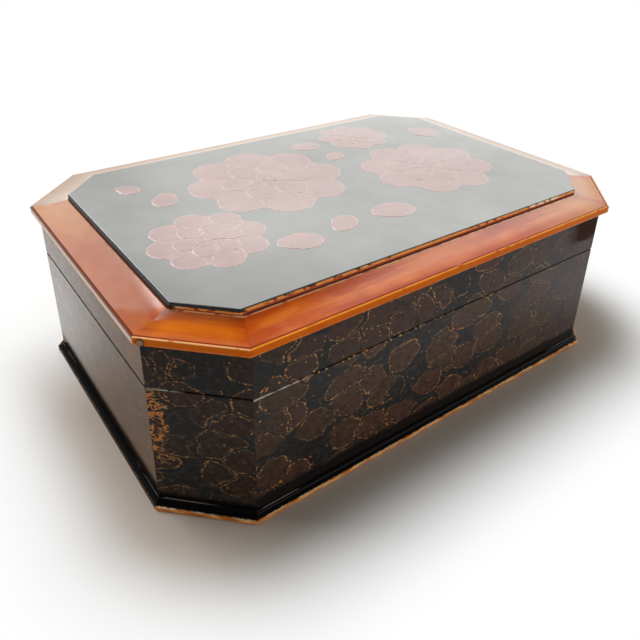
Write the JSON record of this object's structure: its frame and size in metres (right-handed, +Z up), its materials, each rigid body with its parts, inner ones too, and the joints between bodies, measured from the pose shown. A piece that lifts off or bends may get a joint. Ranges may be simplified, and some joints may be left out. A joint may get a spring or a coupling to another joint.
{
  "type": "lacquered box",
  "caption": "Low rectangular box with canted corners, gold-outlined dark lacquer walls, overhanging amber lid frame, raised flowered panel, hinged lid and moulded plinth.",
  "frame": {"origin": "middle of the underside, on the surface it stands on", "axes": "+X along the length, -Y towards the front, hinges at +Y, +Z up"},
  "size_m": [0.306, 0.2154, 0.1019],
  "materials": {
    "pebble_lacquer": "glossy black-brown lacquer with gold outlines",
    "black_lacquer": "glossy black lacquer, gilt foot edge",
    "amber_lacquer": "glossy translucent amber lacquer",
    "panel_lacquer": "satin greenish black lacquer, hazy with age",
    "inside_lacquer": "satin dark lacquer",
    "peg_wood": "worn end grain under lacquer",
    "hinge_brass": "dull brass"
  },
  "bodies": {
    "box": {"body_leaf_screws": "hinge_brass", "body_wall_back": "pebble_lacquer", "body_wall_back_left": "pebble_lacquer", "body_wall_back_right": "pebble_lacquer", "body_wall_front": "pebble_lacquer", "body_wall_front_left": "pebble_lacquer", "body_wall_front_right": "pebble_lacquer", "body_wall_left": "pebble_lacquer", "body_wall_right": "pebble_lacquer", "bottom_board": "inside_lacquer", "left_hinge_body_leaf": "hinge_brass", "left_hinge_pin": "hinge_brass", "plinth_back": "black_lacquer", "plinth_back_left": "black_lacquer", "plinth_back_right": "black_lacquer", "plinth_front": "black_lacquer", "plinth_front_left": "black_lacquer", "plinth_front_right": "black_lacquer", "plinth_left": "black_lacquer", "plinth_right": "black_lacquer", "right_hinge_body_leaf": "hinge_brass", "right_hinge_pin": "hinge_brass"},
    "lid": {"frame_back": "amber_lacquer", "frame_back_left": "amber_lacquer", "frame_back_right": "amber_lacquer", "frame_corner_pegs": "peg_wood", "frame_front": "amber_lacquer", "frame_front_left": "amber_lacquer", "frame_front_right": "amber_lacquer", "frame_left": "amber_lacquer", "frame_right": "amber_lacquer", "left_hinge_lid_leaf": "hinge_brass", "lid_board": "inside_lacquer", "lid_leaf_screws": "hinge_brass", "lid_wall_back": "pebble_lacquer", "lid_wall_back_left": "pebble_lacquer", "lid_wall_back_right": "pebble_lacquer", "lid_wall_front": "pebble_lacquer", "lid_wall_front_left": "pebble_lacquer", "lid_wall_front_right": "pebble_lacquer", "lid_wall_left": "pebble_lacquer", "lid_wall_right": "pebble_lacquer", "right_hinge_lid_leaf": "hinge_brass", "top_panel": "panel_lacquer"}
  },
  "joints": [
    {"name": "lid_hinge", "type": "hinge", "parent": "box", "child": "lid", "pos_m": [0, 0.1012, 0.06785], "axis": [-1, 0, 0], "range_deg": [0, 100]}
  ]
}
